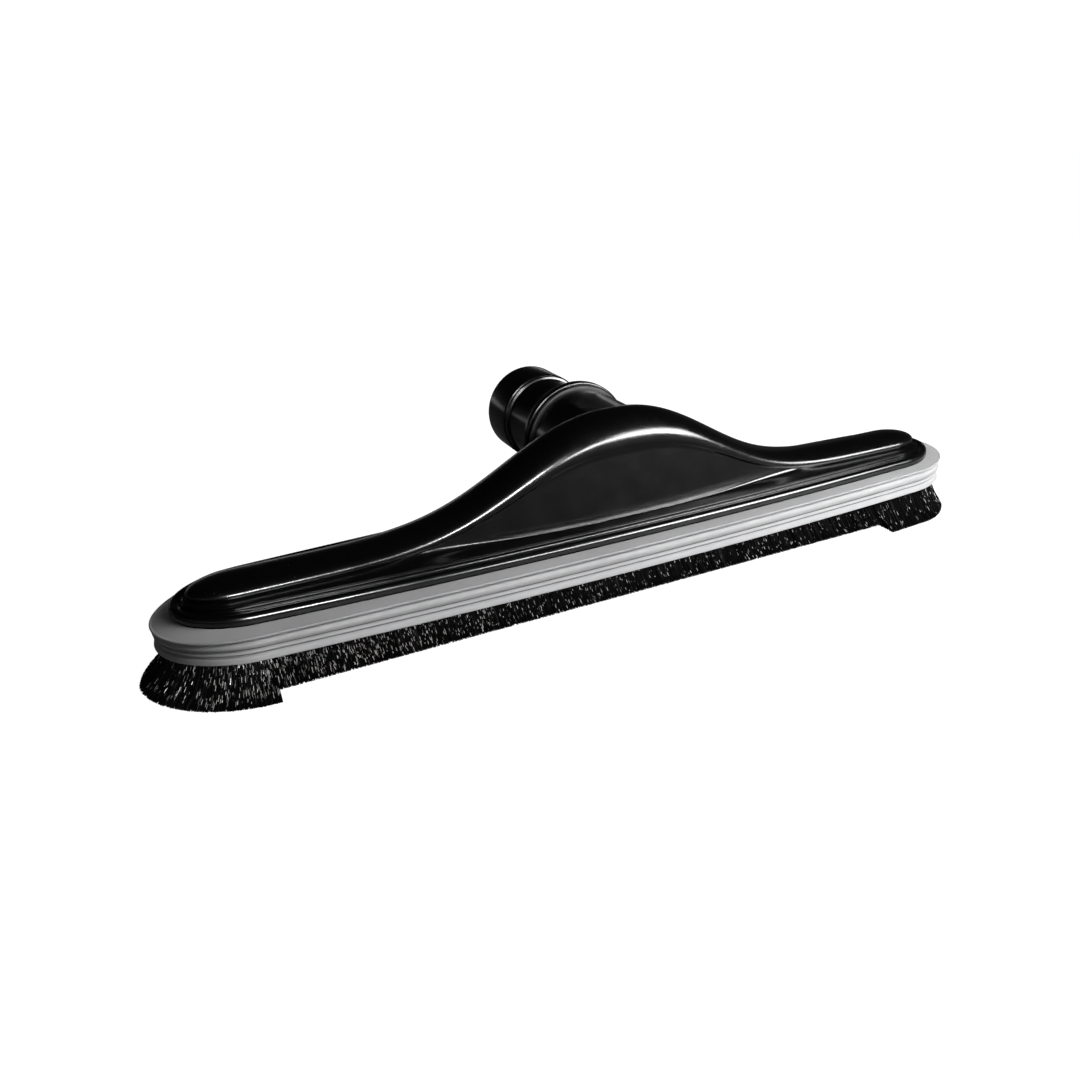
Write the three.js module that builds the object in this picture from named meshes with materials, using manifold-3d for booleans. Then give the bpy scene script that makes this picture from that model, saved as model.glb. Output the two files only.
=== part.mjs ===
// A 14-inch hard-floor vacuum brush: a moulded head inside a soft bumper, a ring of horsehair
// under it, and a swivelling neck that takes a wand.
// Millimetres. X runs along the head, Y from the brush front towards the neck, +Z up.
// Everything is drawn with the middle of the head at x = 0, y = 0 and the bristle tips at z = 0,
// then the whole group slides along Y so that its origin is at the bottom centre of its box.

import * as THREE from 'three';
import { mergeVertices } from 'three/addons/utils/BufferGeometryUtils.js';
import Module from 'manifold-3d';

const wasm = await Module();
wasm.setup();

// ---- Driving dimensions -------------------------------------------------------------------

const gap = 0.3;                 // clearance between neighbouring pieces
const turns = 48;                // facets round the neck
const holeFacets = 14;
const postFacets = 20;

// Plan outline of the bumper: long bowed sides and rounded ends
const headLength = 356;
const headWidth = 63.3;
const sideBow = 4.4;             // each side draws in this much from the middle to the ends
const endLength = 32;            // length of one rounded end
const sideSteps = 14;
const endSteps = 10;
const rowSteps = 20;             // stations along a straight row of hair

// Heights of the layers, from the floor up
const bristleTip = 0;
const frontTrim = 4.6;           // the middle of the front row is cut short
const bristleRoot = 12.3;
const brushBackTop = 16.6;
const solePlateTop = 19.3;
const beadBottom = 22.9;
const deckTop = 25.4;
const beadTop = 26.2;

// Insets from the bumper's outermost edge
const bumperWall = 3.1;
const bumperFlange = 7.2;        // inner edge of the bumper's top flange
const lipHeight = 20.7;
const skirtInset = 6.9;
const deckInset = 11.6;
const panelInset = 13.8;         // foot of the flat panels
const brushInset = bumperWall + gap;
const brushWidth = 6;
const bristleFlare = 8;          // how far the long tips splay past the bumper
const longTipWidth = 9.5;

// Front row, trimmed between two notches
const notchLeft = -144;
const notchRight = 120;
const frontTipOuter = 34.3;
const rearTipOuter = 35.2;
const tipWidth = 7.5;

// Roll along the top, swelling into the hump in the middle
const rollHeight = 33;
const rollFoot = 27;
const rollHalfWidth = 10;
const humpRise = 35;
const humpSpread = 58;
const humpSharpness = 2.3;
const creaseRise = 26.5;
const creaseSpread = 59.5;
const creaseSharpness = 2.65;
const humpExtraHalfWidth = 2;
const panelDraft = 0.07;         // the flat panels lean in this much per millimetre of height
const panelFillet = 1.8;         // how quickly the concave foot of a panel runs out on to the deck
const panelKnees = [1.2, 4];     // heights up the panel at which the section has a point
const rollEndStart = 149;
const rollEndLength = 16.4;
const shellWall = 2.6;
const humpStations = 36;
const humpCrowding = 0.92;       // below 1, the stations crowd towards the ends
const arcSteps = 10;

// Neck, along +Y
const neckAxisHeight = 45.6;
const socketRadius = 22.2;
const socketStart = 2;
const socketBore = 18.8;
const snapPocket = 20.6;         // wider bore behind the socket, where the snap ring turns
const snapPocketStart = 4;
const socketInnerEnd = 18;
const socketMouth = 31.5;
const sealRadius = 23.4;
const sealThickness = 1.5;
const flangeRadius = 24.5;
const flangeThickness = 3.6;
const journalRadius = 18.5;
const journalEnd = 13.2;
const neckRadius = 18.7;
const spigotRadius = 18;
const spigotLength = 13.6;
const cuffStart = 66.6;
const cuffEnd = 86;
const cuffRadius = 20.3;
const wandBore = 16;             // half of the 32 mm wand
const snapRingThickness = 1.7;
const snapRingInner = 17.6;
const snapRingOuter = 20.2;

// Sole plate slot and fasteners
const slotLength = 250;
const slotWidth = 16;
const bossRadius = 3.5;
const screwHole = 1.8;
const screwShank = 1.5;
const screwHead = 3.1;
const screwHeadHeight = 1.8;
const screwTop = 23.2;
const screwPlaces = [
  [-140, -11], [-140, 11], [-50, -16.5], [-50, 16.5],
  [50, -16.5], [50, 16.5], [140, -11], [140, 11],
];

// ---- Materials ----------------------------------------------------------------------------

const finish = (color, roughness, metalness = 0) =>
  new THREE.MeshStandardMaterial({ color, roughness, metalness });

const glossBlack = () => finish(0x121214, 0.18);
const matteBlack = () => finish(0x1c1c1e, 0.6);
const greyVinyl = () => finish(0x8d8f92, 0.45);
const horsehair = () => finish(0x17150f, 0.85);
const zincSteel = () => finish(0xb4b6b8, 0.35, 1);
const sealRubber = () => finish(0x2a2a2c, 0.7);

// ---- Solids -------------------------------------------------------------------------------

function toSolid(geometry) {
  const plain = geometry.clone();
  plain.deleteAttribute('normal');
  plain.deleteAttribute('uv');
  const merged = mergeVertices(plain, 1e-4);
  return new wasm.Manifold(new wasm.Mesh({
    numProp: 3,
    vertProperties: new Float32Array(merged.attributes.position.array),
    triVerts: new Uint32Array(merged.index.array),
  }));
}

function toGeometry(solid) {
  const mesh = solid.getMesh();
  const geometry = new THREE.BufferGeometry();
  geometry.setAttribute('position', new THREE.BufferAttribute(new Float32Array(mesh.vertProperties), 3));
  geometry.setIndex(new THREE.BufferAttribute(new Uint32Array(mesh.triVerts), 1));
  geometry.computeVertexNormals();
  return geometry;
}

// A closed solid from rows of points: each row is a loop, and consecutive loops are joined.
// wrap joins the last loop to the first, otherwise both end loops are capped.
function loftSolid(loops, wrap = false) {
  const count = loops[0].length;
  const positions = loops.flat(2);
  const index = [];
  const spans = wrap ? loops.length : loops.length - 1;
  for (let i = 0; i < spans; i += 1) {
    const here = i * count;
    const there = ((i + 1) % loops.length) * count;
    for (let j = 0; j < count; j += 1) {
      const next = (j + 1) % count;
      index.push(here + j, here + next, there + next);
      index.push(here + j, there + next, there + j);
    }
  }
  if (!wrap) {
    const last = (loops.length - 1) * count;
    for (const [p, q, r] of ladder(count)) {
      index.push(r, q, p);
      index.push(last + p, last + q, last + r);
    }
  }
  const geometry = new THREE.BufferGeometry();
  geometry.setAttribute('position', new THREE.Float32BufferAttribute(positions, 3));
  geometry.setIndex(index);
  return orientOutward(geometry);
}

// Triangles across a loop that is symmetric end for end, joining its two sides rung by rung
function ladder(count) {
  const triangles = [];
  let low = 0;
  let high = count - 1;
  while (low + 1 < high) {
    triangles.push([low, low + 1, high]);
    low += 1;
    if (low + 1 < high) {
      triangles.push([low, high - 1, high]);
      high -= 1;
    }
  }
  return triangles;
}

// Reverses every triangle when the surface encloses a negative volume
function orientOutward(geometry) {
  const points = geometry.attributes.position;
  const index = geometry.index.array;
  const a = new THREE.Vector3();
  const b = new THREE.Vector3();
  const c = new THREE.Vector3();
  let volume = 0;
  for (let i = 0; i < index.length; i += 3) {
    a.fromBufferAttribute(points, index[i]);
    b.fromBufferAttribute(points, index[i + 1]);
    c.fromBufferAttribute(points, index[i + 2]);
    volume += a.dot(b.cross(c));
  }
  if (volume < 0) {
    for (let i = 0; i < index.length; i += 3) {
      [index[i + 1], index[i + 2]] = [index[i + 2], index[i + 1]];
    }
  }
  return toSolid(geometry);
}

function boxSolid(low, high) {
  const geometry = new THREE.BoxGeometry(high[0] - low[0], high[1] - low[1], high[2] - low[2]);
  geometry.translate((low[0] + high[0]) / 2, (low[1] + high[1]) / 2, (low[2] + high[2]) / 2);
  return toSolid(geometry);
}

// An upright cylinder
function postSolid(x, y, low, high, radius, facets = postFacets) {
  const geometry = new THREE.CylinderGeometry(radius, radius, high - low, facets);
  geometry.rotateX(Math.PI / 2);
  geometry.translate(x, y, (low + high) / 2);
  return toSolid(geometry);
}

// A turned piece on the neck's axis, from a closed profile of [radius, y]
function turnedSolid(profile) {
  const points = profile.map(([radius, y]) => new THREE.Vector2(radius, y));
  const geometry = new THREE.LatheGeometry([...points, points[0]], turns);
  geometry.translate(0, 0, neckAxisHeight);
  return orientOutward(geometry);
}

// ---- Plan outline -------------------------------------------------------------------------

const sideHalf = headLength / 2 - endLength;
const endHalfWidth = headWidth / 2 - sideBow;

// Half-width of the outline at x, drawn in by inset
function halfWidthAt(x, inset) {
  const along = Math.abs(x);
  if (along <= sideHalf) {
    return headWidth / 2 - inset - sideBow * (along / sideHalf) ** 2;
  }
  const reach = (along - sideHalf) / (endLength - inset);
  const taper = endHalfWidth - inset - (2 * sideBow / sideHalf) * (along - sideHalf);
  return taper * Math.sqrt(Math.max(0, 1 - reach * reach));
}

// X stations of one side from left to right, ends included
function outlineStations(inset) {
  const reach = endLength - inset;
  const stations = [];
  for (let i = 0; i <= endSteps; i += 1) {
    stations.push(sideHalf + reach * Math.cos((i / endSteps) * Math.PI / 2));
  }
  for (let i = 1; i < sideSteps; i += 1) {
    stations.push(sideHalf * (1 - (2 * i) / sideSteps));
  }
  for (let i = endSteps; i >= 0; i -= 1) {
    stations.push(-sideHalf - reach * Math.cos((i / endSteps) * Math.PI / 2));
  }
  return stations;
}

// The closed outline at one height
function outlineLoop([inset, z]) {
  const stations = outlineStations(inset);
  const rear = stations.map((x) => [x, halfWidthAt(x, inset), z]);
  const front = stations.slice(1, -1).reverse().map((x) => [x, -halfWidthAt(x, inset), z]);
  return [...rear, ...front];
}

// Solids swept round the outline from [inset, z] points
const outlineSolid = (profile) => loftSolid(profile.map(outlineLoop));
const outlineRing = (profile) => loftSolid(profile.map(outlineLoop), true);

// ---- Roll and hump ------------------------------------------------------------------------

const bell = (x, spread, sharpness) => Math.exp(-((Math.abs(x) / spread) ** sharpness));

// One cross-section of the hump, drawn in by wall on every side
function humpSection(x, wall, base) {
  const past = Math.max(0, Math.abs(x) - rollEndStart) / rollEndLength;
  const fade = Math.sqrt(Math.max(0, 1 - past * past));
  const top = rollHeight + humpRise * bell(x, humpSpread, humpSharpness);
  const foot = rollFoot + creaseRise * bell(x, creaseSpread, creaseSharpness);
  const widen = humpExtraHalfWidth * bell(x, creaseSpread, creaseSharpness);
  const half = Math.max(0.5, (rollHalfWidth + widen) * fade - wall);
  const crest = deckTop + (top - deckTop) * fade - wall;
  const crease = deckTop + (foot - deckTop) * fade - wall;
  const panelFoot = Math.max(half + 0.3, halfWidthAt(x, panelInset) - wall);
  const panelRise = Math.max(0.3, crease - (deckTop - wall));
  const runOut = Math.exp(-panelRise / panelFillet);
  const knees = panelKnees.map((height) => {
    const up = Math.min(height / panelKnees.at(-1), 1) * Math.min(panelKnees.at(-1), panelRise / 2);
    const foot = (Math.exp(-up / panelFillet) - runOut) / (1 - runOut);
    const lean = panelDraft * (panelRise - up);
    return [half + lean + Math.max(0, panelFoot - half - panelDraft * panelRise) * foot, up];
  });
  const arc = [];
  for (let i = 0; i <= arcSteps; i += 1) {
    const angle = Math.PI * (i / arcSteps);
    arc.push([x, -half * Math.cos(angle), crease + (crest - crease) * Math.sin(angle)]);
  }
  return [
    [x, -panelFoot, base],
    [x, -panelFoot, deckTop - wall],
    ...knees.map(([y, up]) => [x, -y, deckTop - wall + up]),
    ...arc,
    ...knees.reverse().map(([y, up]) => [x, y, deckTop - wall + up]),
    [x, panelFoot, deckTop - wall],
    [x, panelFoot, base],
  ];
}

function humpSolid(wall, base, reach) {
  const stations = [];
  for (let i = 0; i <= humpStations; i += 1) {
    const along = (2 * i) / humpStations - 1;
    stations.push(reach * Math.sign(along) * Math.abs(along) ** humpCrowding);
  }
  return loftSolid(stations.map((x) => humpSection(x, wall, base)));
}

// ---- Pieces -------------------------------------------------------------------------------

function upperHousing() {
  const rimBottom = solePlateTop + gap;
  const skirt = outlineSolid([
    [bumperFlange + gap, rimBottom],
    [bumperFlange + gap, beadBottom],
    [skirtInset, beadBottom],
    [skirtInset, beadBottom + 1.3],
    [skirtInset + 0.7, beadTop - 0.6],
    [skirtInset + 2.2, beadTop],
    [deckInset - 1, beadTop - 0.2],
    [deckInset - 0.2, deckTop],
  ]);
  const outer = skirt
    .add(humpSolid(0, deckTop - 1, rollEndStart + rollEndLength - 0.3))
    .add(turnedSolid([
      [0, socketStart],
      [socketRadius, socketStart],
      [socketRadius, socketMouth],
      [0, socketMouth],
    ]));
  const innerInset = bumperFlange + gap + shellWall;
  const skirtHollow = outlineSolid([[innerInset, rimBottom - 1], [innerInset, deckTop - shellWall]]);
  const humpHollow = humpSolid(shellWall, rimBottom + 1, rollEndStart + rollEndLength - 4);
  const bore = turnedSolid([
    [0, snapPocketStart],
    [snapPocket, snapPocketStart],
    [snapPocket, socketInnerEnd],
    [socketBore, socketInnerEnd],
    [socketBore, socketMouth + 1],
    [0, socketMouth + 1],
  ]);
  const bosses = screwPlaces
    .map(([x, y]) => postSolid(x, y, rimBottom + gap, 40, bossRadius))
    .reduce((all, boss) => all.add(boss));
  const bossTrim = humpSolid(shellWall / 2, rimBottom - 1, rollEndStart);
  let housing = outer
    .subtract(skirtHollow)
    .subtract(humpHollow)
    .subtract(bore)
    .add(bosses.intersect(bossTrim));
  for (const [x, y] of screwPlaces) {
    housing = housing.subtract(postSolid(x, y, rimBottom - 1, screwTop + gap, screwHole, holeFacets));
  }
  return housing;
}

// The bumper's section as [inset, z]: ribs down the outside, the lip, the flange and the inner wall
const bumperSection = [
  [0.9, bristleRoot],
  [0.3, bristleRoot + 0.6],
  [0.3, bristleRoot + 2.5],
  [1.1, bristleRoot + 3],
  [0.6, bristleRoot + 3.8],
  [1.2, bristleRoot + 4.8],
  [0.7, bristleRoot + 5.6],
  [0.9, bristleRoot + 7.2],
  [1.1, lipHeight - 0.4],
  [0, lipHeight - 0.1],
  [0, lipHeight + 0.4],
  [0.6, lipHeight + 0.7],
  [bumperFlange, lipHeight + 1.9],
  [bumperFlange, lipHeight + 0.2],
  [bumperWall, lipHeight - 0.9],
  [bumperWall, lipHeight - 4],
  [bumperWall, bristleRoot + 2.1],
  [bumperWall, bristleRoot],
];

const bumper = () => outlineRing(bumperSection);

function solePlate() {
  const low = brushBackTop + gap;
  let plate = outlineSolid([[brushInset, low], [brushInset, solePlateTop]]);
  const straight = slotLength / 2 - slotWidth / 2;
  let slot = boxSolid([-straight, -slotWidth / 2, low - 1], [straight, slotWidth / 2, solePlateTop + 1]);
  for (const x of [-straight, straight]) {
    slot = slot.add(postSolid(x, 0, low - 1, solePlateTop + 1, slotWidth / 2));
  }
  plate = plate.subtract(slot);
  for (const [x, y] of screwPlaces) {
    plate = plate.subtract(postSolid(x, y, low - 1, solePlateTop + 1, screwHole, holeFacets));
  }
  return plate;
}

// The four stretches of the brush ring: which part of the plan each one takes
const far = 400;
const stretches = {
  front: [[notchLeft, -far], [notchRight - gap, 0]],
  rear: [[notchLeft, 0], [notchRight - gap, far]],
  left: [[-far, -far], [notchLeft - gap, far]],
  right: [[notchRight, -far], [far, far]],
};

const clipToStretch = (ring, name) => {
  const [[lowX, lowY], [highX, highY]] = stretches[name];
  return ring.intersect(boxSolid([lowX, lowY, -1], [highX, highY, 60]));
};

// The channel that grips the roots of the hair
function brushBack(name) {
  const low = bristleRoot + gap;
  return clipToStretch(outlineRing([
    [brushInset, low],
    [brushInset, brushBackTop],
    [brushInset + brushWidth, brushBackTop],
    [brushInset + brushWidth, low],
  ]), name);
}

// Long hair round an end, splayed outwards
function endBristles(name) {
  return clipToStretch(outlineRing([
    [brushInset, bristleRoot],
    [-bristleFlare, bristleTip],
    [longTipWidth - bristleFlare, bristleTip],
    [brushInset + brushWidth, bristleRoot],
  ]), name);
}

// A straight row between the notches: its roots follow the bumper and its tips are cut in a line
function rowBristles(side, tipHeight, tipOuter) {
  const loops = [];
  for (let i = 0; i <= rowSteps; i += 1) {
    const x = notchLeft + (notchRight - gap - notchLeft) * (i / rowSteps);
    const root = halfWidthAt(x, brushInset);
    loops.push([
      [x, side * root, bristleRoot],
      [x, side * (root - brushWidth), bristleRoot],
      [x, side * (tipOuter - tipWidth), tipHeight],
      [x, side * tipOuter, tipHeight],
    ]);
  }
  return loftSolid(loops);
}

function soleScrew([x, y]) {
  const headTop = brushBackTop;
  const head = postSolid(x, y, headTop - screwHeadHeight, headTop, screwHead);
  return head.add(postSolid(x, y, headTop - 0.5, screwTop, screwShank, holeFacets));
}

const neckSeal = () => {
  const start = socketMouth + gap;
  return turnedSolid([
    [socketBore + 0.4, start],
    [sealRadius - 0.5, start],
    [sealRadius, start + sealThickness / 2],
    [sealRadius - 0.5, start + sealThickness],
    [socketBore + 0.4, start + sealThickness],
  ]);
};

const snapRingEnd = socketInnerEnd - gap;

const snapRing = () => turnedSolid([
  [snapRingInner, snapRingEnd - snapRingThickness],
  [snapRingOuter, snapRingEnd - snapRingThickness],
  [snapRingOuter, snapRingEnd],
  [snapRingInner, snapRingEnd],
]);

function swivelNeck() {
  const flangeStart = socketMouth + gap + sealThickness + gap;
  const flangeEnd = flangeStart + flangeThickness;
  const shoulder = cuffStart - gap;
  const grooveRadius = snapRingInner - gap;
  const grooveStart = snapRingEnd - snapRingThickness - gap;
  const grooveEnd = snapRingEnd + gap;
  return turnedSolid([
    [wandBore, journalEnd],
    [journalRadius, journalEnd],
    [journalRadius, grooveStart],
    [grooveRadius, grooveStart],
    [grooveRadius, grooveEnd],
    [journalRadius, grooveEnd],
    [journalRadius, flangeStart],
    [flangeRadius - 0.8, flangeStart],
    [flangeRadius, flangeStart + 0.8],
    [flangeRadius, flangeEnd - 0.8],
    [flangeRadius - 0.8, flangeEnd],
    [neckRadius + 1.2, flangeEnd],
    [neckRadius, flangeEnd + 1.2],
    [neckRadius, shoulder],
    [spigotRadius, shoulder],
    [spigotRadius, cuffStart + spigotLength],
    [wandBore, cuffStart + spigotLength],
  ]);
}

const wandCuff = () => turnedSolid([
  [spigotRadius + gap, cuffStart],
  [cuffRadius - 0.9, cuffStart],
  [cuffRadius, cuffStart + 1.1],
  [cuffRadius, cuffEnd - 1],
  [cuffRadius - 1, cuffEnd],
  [wandBore, cuffEnd],
  [wandBore, cuffStart + spigotLength + gap],
  [spigotRadius + gap, cuffStart + spigotLength + gap],
]);

// ---- Assembly -----------------------------------------------------------------------------

const tool = new THREE.Group();

function addPiece(name, solid, material) {
  const mesh = new THREE.Mesh(toGeometry(solid), material);
  mesh.name = name;
  tool.add(mesh);
}

addPiece('upper_housing', upperHousing(), glossBlack());
addPiece('bumper', bumper(), greyVinyl());
addPiece('sole_plate', solePlate(), matteBlack());

for (const name of Object.keys(stretches)) {
  addPiece(`${name}_brush_back`, brushBack(name), zincSteel());
}
addPiece('front_bristles', rowBristles(-1, frontTrim, frontTipOuter), horsehair());
addPiece('rear_bristles', rowBristles(1, bristleTip, rearTipOuter), horsehair());
addPiece('left_bristles', endBristles('left'), horsehair());
addPiece('right_bristles', endBristles('right'), horsehair());

screwPlaces.forEach((place, i) => addPiece(`sole_screw_${i + 1}`, soleScrew(place), zincSteel()));

addPiece('neck_seal', neckSeal(), sealRubber());
addPiece('snap_ring', snapRing(), zincSteel());
addPiece('swivel_neck', swivelNeck(), glossBlack());
addPiece('wand_cuff', wandCuff(), glossBlack());

// The box runs from the splayed front tips to the rim of the cuff
const frontReach = halfWidthAt(notchRight, -bristleFlare);
tool.position.y = (frontReach - cuffEnd) / 2;

export default tool;
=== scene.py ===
"""A 14-inch hard-floor vacuum brush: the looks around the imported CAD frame.

Lengths in this script are millimetres until a mesh is made, and MM turns them into metres.
The tool frame has x along the head, y from the brush front to the neck, z up, with the middle
of the bumper at x = 0, y = 0. mid_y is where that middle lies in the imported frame.
"""

import math

import bmesh
import bpy
import numpy as np
from mathutils import Matrix, Vector


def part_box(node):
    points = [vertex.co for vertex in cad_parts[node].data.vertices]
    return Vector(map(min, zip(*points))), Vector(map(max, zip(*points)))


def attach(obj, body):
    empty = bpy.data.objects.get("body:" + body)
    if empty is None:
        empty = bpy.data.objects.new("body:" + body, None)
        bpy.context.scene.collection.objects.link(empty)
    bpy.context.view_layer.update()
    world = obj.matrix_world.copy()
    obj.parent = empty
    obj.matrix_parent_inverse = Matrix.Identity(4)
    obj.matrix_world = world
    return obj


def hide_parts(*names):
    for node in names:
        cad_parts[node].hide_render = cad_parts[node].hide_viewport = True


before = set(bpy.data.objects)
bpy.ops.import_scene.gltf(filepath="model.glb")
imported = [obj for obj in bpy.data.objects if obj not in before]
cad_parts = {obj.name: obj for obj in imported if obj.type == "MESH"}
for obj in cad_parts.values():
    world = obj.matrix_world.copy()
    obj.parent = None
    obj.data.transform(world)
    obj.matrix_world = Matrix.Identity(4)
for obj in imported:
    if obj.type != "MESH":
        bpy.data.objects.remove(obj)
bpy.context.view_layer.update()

MM = 0.001

# ---- Places taken from the frame ----------------------------------------------------------

bumper_low, bumper_high = (np.array(corner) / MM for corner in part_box("bumper"))
cuff_low, cuff_high = (np.array(corner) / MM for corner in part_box("wand_cuff"))
neck_low, neck_high = (np.array(corner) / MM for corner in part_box("swivel_neck"))
seal_low, seal_high = (np.array(corner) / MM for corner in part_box("neck_seal"))
sole_low, sole_high = (np.array(corner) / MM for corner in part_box("sole_plate"))
front_low, front_high = (np.array(corner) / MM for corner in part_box("front_bristles"))
rear_high = np.array(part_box("rear_bristles")[1]) / MM

mid_y = (bumper_low[1] + bumper_high[1]) / 2
half_length = (bumper_high[0] - bumper_low[0]) / 2
half_width = (bumper_high[1] - bumper_low[1]) / 2
neck_z = (cuff_low[2] + cuff_high[2]) / 2
root_z = bumper_low[2]
notch_left = front_low[0]
notch_right = front_high[0]
trim_z = front_low[2]

# ---- Driving sizes of the shapes ----------------------------------------------------------

SIDE_BOW = 4.4
END_LENGTH = 32.0
SIDE_STEPS = 150
END_STEPS = 56

SHELL_WALL = 2.4
ROLL_HEIGHT = 33.0
ROLL_FOOT = 27.4
ROLL_HALF_WIDTH = 10.0
ROLL_WAIST = 0.22
ROLL_UNDERCUT = math.radians(20)
ROLL_UNDERCUT_DEPTH = 0.9
HUMP_RISE = 35.0
HUMP_SPREAD = 58.0
HUMP_SHARPNESS = 2.3
CREASE_RISE = 26.1
CREASE_SPREAD = 59.5
CREASE_SHARPNESS = 2.65
HUMP_EXTRA_WIDTH = 2.0
ROLL_END_START = 149.0
ROLL_END_LENGTH = 16.2
PANEL_FOOT_INSET = 14.2
PANEL_FOOT_Z = 26.7
PANEL_DRAFT = 0.07
PANEL_DRAFT_MOST = 0.8
SMALLEST_PANEL = 0.2
PANEL_FILLET = 0.9
PANEL_FILLET_LOSS = 0.85
PANEL_FILLET_SPREAD = 72.0
PANEL_FILLET_SHARPNESS = 5

BRUSH_INSET = 3.4
BRUSH_WIDTH = 6.0
BRISTLE_FLARE = 7.4
LONG_TIP_WIDTH = 9.5
TIP_WIDTH = 7.5

side_half = half_length - END_LENGTH
end_half_width = half_width - SIDE_BOW


# ---- Mesh helpers -------------------------------------------------------------------------

# Edges that turn by more than this many degrees stay sharp
HEAD_SHARP = 32
NECK_SHARP = 40
BUMPER_SHARP = 34
SCREW_SHARP = 30
HAIR_SHARP = 60

WELD_MM = 0.002
STRAIGHT = math.radians(176)
LONGEST_REACH = 0.48


def shade(mesh, smooth_angle):
    """Smooth shading, except at edges that turn by more than smooth_angle degrees."""
    mesh.shade_smooth()
    mesh.set_sharp_from_angle(angle=math.radians(smooth_angle))


def mesh_object(name, points, faces, smooth_angle=NECK_SHARP):
    """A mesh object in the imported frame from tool-frame points in millimetres."""
    points = np.asarray(points, float).reshape(-1, 3)
    placed = (points + [0.0, mid_y, 0.0]) * MM
    mesh = bpy.data.meshes.new(name)
    mesh.from_pydata(placed.tolist(), [], faces)
    mesh.validate()
    shade(mesh, smooth_angle)
    obj = bpy.data.objects.new(name, mesh)
    bpy.context.scene.collection.objects.link(obj)
    return obj


def finish_piece(obj, body, nodes, material):
    """Gives a finished mesh its material and body, and hides the CAD nodes that it stands for."""
    obj.data.materials.clear()
    obj.data.materials.append(material)
    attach(obj, body)
    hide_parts(*nodes)


def loops_mesh(loops, wrap_rows=False, cap_first=False, cap_last=False):
    """Points and quads through a stack of closed loops with the same number of points."""
    rows = len(loops)
    count = len(loops[0])
    points = np.concatenate(loops)
    faces = []
    for i in range(rows if wrap_rows else rows - 1):
        here = i * count
        there = ((i + 1) % rows) * count
        for j in range(count):
            k = (j + 1) % count
            faces.append((here + j, here + k, there + k, there + j))
    if cap_first:
        faces.append(tuple(reversed(range(count))))
    if cap_last:
        faces.append(tuple(range((rows - 1) * count, rows * count)))
    return points, faces


def fix_normals(obj):
    """Welds doubled points and turns every face outwards."""
    bm = bmesh.new()
    bm.from_mesh(obj.data)
    bmesh.ops.remove_doubles(bm, verts=bm.verts, dist=WELD_MM * MM)
    bmesh.ops.dissolve_degenerate(bm, edges=bm.edges, dist=WELD_MM * MM / 4)
    bmesh.ops.recalc_face_normals(bm, faces=bm.faces)
    bm.to_mesh(obj.data)
    bm.free()
    return obj


def rounded(corners, steps):
    """A closed profile of (a, b, radius) corners with each corner rounded to its radius."""
    count = len(corners)
    result = []
    for i in range(count):
        here = np.array(corners[i][:2], float)
        before = np.array(corners[i - 1][:2], float)
        after = np.array(corners[(i + 1) % count][:2], float)
        radius = corners[i][2]
        to_before = before - here
        to_after = after - here
        len_before = np.linalg.norm(to_before)
        len_after = np.linalg.norm(to_after)
        to_before /= len_before
        to_after /= len_after
        angle = math.acos(max(-1.0, min(1.0, float(to_before @ to_after))))
        if radius <= 0 or angle > STRAIGHT:
            result.append(here)
            continue
        longest = LONGEST_REACH * min(len_before, len_after)
        reach = min(radius / math.tan(angle / 2), longest)
        true_radius = reach * math.tan(angle / 2)
        bisector = to_before + to_after
        bisector /= np.linalg.norm(bisector)
        centre = here + bisector * true_radius / math.sin(angle / 2)
        start = here + to_before * reach - centre
        end = here + to_after * reach - centre
        sweep = math.pi - angle
        turn = 1.0 if start[0] * end[1] - start[1] * end[0] > 0 else -1.0
        for k in range(steps + 1):
            a = turn * sweep * k / steps
            rotated = (
                start[0] * math.cos(a) - start[1] * math.sin(a),
                start[0] * math.sin(a) + start[1] * math.cos(a),
            )
            result.append(centre + rotated)
    return np.array(result)


# ---- Plan outline -------------------------------------------------------------------------


def loop_plan(side, length, width_at, taper=0.0):
    """A closed plan curve: straight-ish sides of half-length side, then rounded ends."""
    angles = np.linspace(-math.pi / 2, math.pi / 2, END_STEPS + 1)
    cosine = np.cos(angles)
    end_x = side + length * cosine
    end_y = (width_at(np.array([side]))[0] - taper * length * cosine) * np.sin(angles)
    side_x = np.linspace(side, -side, SIDE_STEPS + 1)[1:-1]
    side_y = width_at(side_x)
    xs = np.concatenate([end_x, side_x, -end_x, -side_x])
    ys = np.concatenate([end_y, side_y, -end_y, -side_y])
    return xs, ys


def bumper_width_at(inset):
    """Half-width along the sides of the bumper's outline, drawn in by inset."""
    return lambda x: half_width - inset - SIDE_BOW * (np.abs(x) / side_half) ** 2


def outline_loop(inset, z, curl=0.0):
    """The outline drawn in by inset at height z; curl draws the rounded ends in further."""
    taper = 2 * SIDE_BOW / side_half
    xs, ys = loop_plan(side_half, END_LENGTH - inset - curl, bumper_width_at(inset), taper)
    if curl:
        past = np.clip((np.abs(xs) - side_half) / (END_LENGTH - inset - curl), 0, 1)
        ys = ys * (1 - curl * past / max(end_half_width - inset, 1.0))
    return np.column_stack([xs, ys, np.full(len(xs), z)])


# ---- Roll and hump ------------------------------------------------------------------------


def bell(x, spread, sharpness):
    """1 in the middle of the head, falling to 0 past spread."""
    return np.exp(-((np.abs(x) / spread) ** sharpness))


def crest_z(x):
    """Height of the roll's top."""
    return ROLL_HEIGHT + HUMP_RISE * bell(x, HUMP_SPREAD, HUMP_SHARPNESS)


def crease_z(x):
    """Height of the crease where the panels meet the roll."""
    return ROLL_FOOT + CREASE_RISE * bell(x, CREASE_SPREAD, CREASE_SHARPNESS)


def roll_width(x):
    """Half the roll's width."""
    return ROLL_HALF_WIDTH + HUMP_EXTRA_WIDTH * bell(x, CREASE_SPREAD, CREASE_SHARPNESS)


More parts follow.
